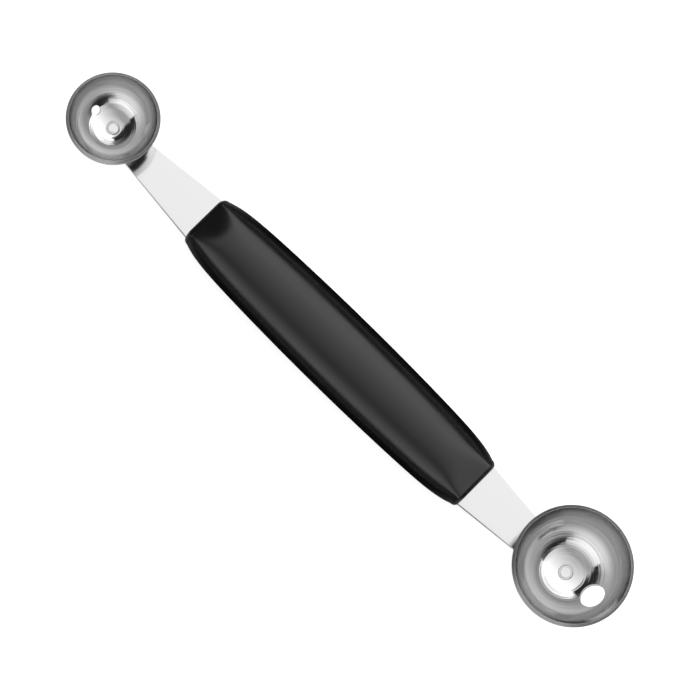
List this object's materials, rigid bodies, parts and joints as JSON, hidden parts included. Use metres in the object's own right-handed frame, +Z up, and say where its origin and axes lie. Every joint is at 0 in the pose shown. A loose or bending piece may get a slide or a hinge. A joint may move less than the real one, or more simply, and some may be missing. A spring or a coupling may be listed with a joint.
{
  "type": "double melon baller",
  "caption": "Double-ended melon baller: two polished steel bowls of different size, each with a vent hole, on a flat tapered strap with a moulded black handle round its middle.",
  "frame": {"origin": "on the surface that the tool lies on, under the middle of its overall length", "axes": "+X along the tool from the small bowl to the large bowl, +Z up out of the open bowls, +Y across"},
  "size_m": [0.1854, 0.0302, 0.0218],
  "materials": {
    "handle_plastic": "moulded black polypropylene, satin",
    "strap_steel": "stainless strip, fine satin finish",
    "bowl_steel": "pressed stainless bowls, turned and polished inside"
  },
  "bodies": {
    "root": {"handle": "handle_plastic", "tang": "strap_steel", "small_cup": "bowl_steel", "large_cup": "bowl_steel"}
  },
  "joints": []
}
